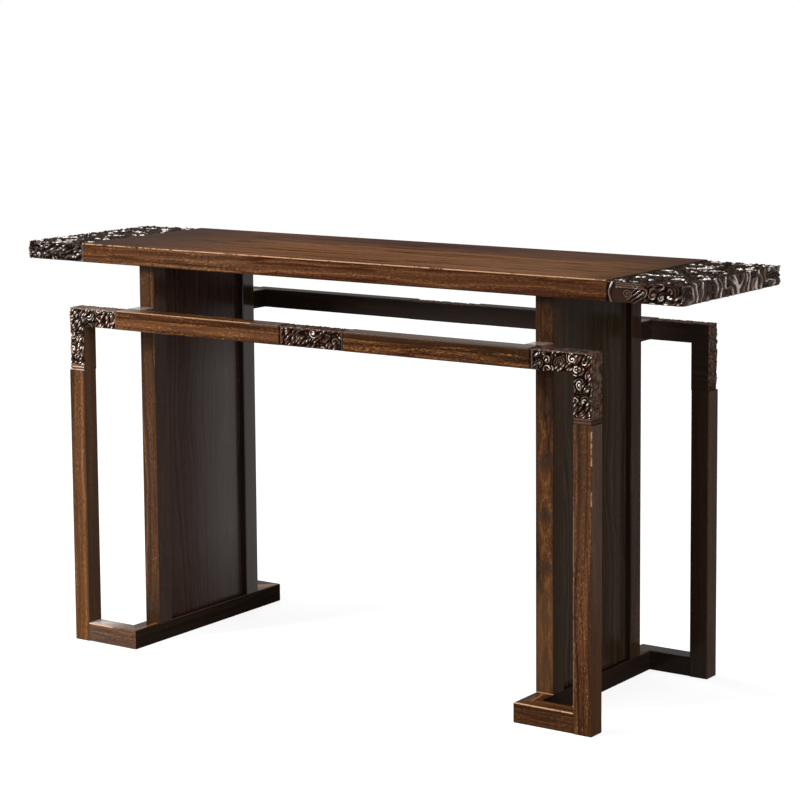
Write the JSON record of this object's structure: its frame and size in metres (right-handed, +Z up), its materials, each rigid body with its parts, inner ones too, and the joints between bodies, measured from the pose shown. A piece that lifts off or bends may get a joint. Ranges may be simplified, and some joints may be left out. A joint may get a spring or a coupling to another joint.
{
  "type": "altar table",
  "caption": "Long narrow hardwood altar table on panelled supports, with upside-down U frames in front and behind and carved cloud-scroll blocks.",
  "frame": {"origin": "on the floor, under the middle of the table", "axes": "+X to the right along the top, +Y to the back, +Z up; the front is -Y"},
  "size_m": [1.6, 0.5, 0.85],
  "materials": {
    "top_wood": "polished dark hardwood, grain along the table",
    "frame_wood": "satin dark hardwood, grain along each timber",
    "panel_wood": "near-black polished hardwood, upright grain",
    "carved_wood": "dark hardwood, carved and polished to a high gloss"
  },
  "bodies": {
    "root": {"foot_beam_left": "frame_wood", "foot_beam_right": "frame_wood", "front_centre_block": "carved_wood", "front_corner_block_left": "carved_wood", "front_corner_block_right": "carved_wood", "front_foot_arm_left": "frame_wood", "front_foot_arm_right": "frame_wood", "front_post_left": "frame_wood", "front_post_right": "frame_wood", "front_rail_left": "frame_wood", "front_rail_right": "frame_wood", "front_spacer_left": "frame_wood", "front_spacer_right": "frame_wood", "front_stile_left": "frame_wood", "front_stile_right": "frame_wood", "rear_centre_block": "carved_wood", "rear_corner_block_left": "carved_wood", "rear_corner_block_right": "carved_wood", "rear_foot_arm_left": "frame_wood", "rear_foot_arm_right": "frame_wood", "rear_post_left": "frame_wood", "rear_post_right": "frame_wood", "rear_rail_left": "frame_wood", "rear_rail_right": "frame_wood", "rear_spacer_left": "frame_wood", "rear_spacer_right": "frame_wood", "rear_stile_left": "frame_wood", "rear_stile_right": "frame_wood", "support_panel_left": "panel_wood", "support_panel_right": "panel_wood", "top_board": "top_wood", "top_end_left": "carved_wood", "top_end_right": "carved_wood"}
  },
  "joints": []
}
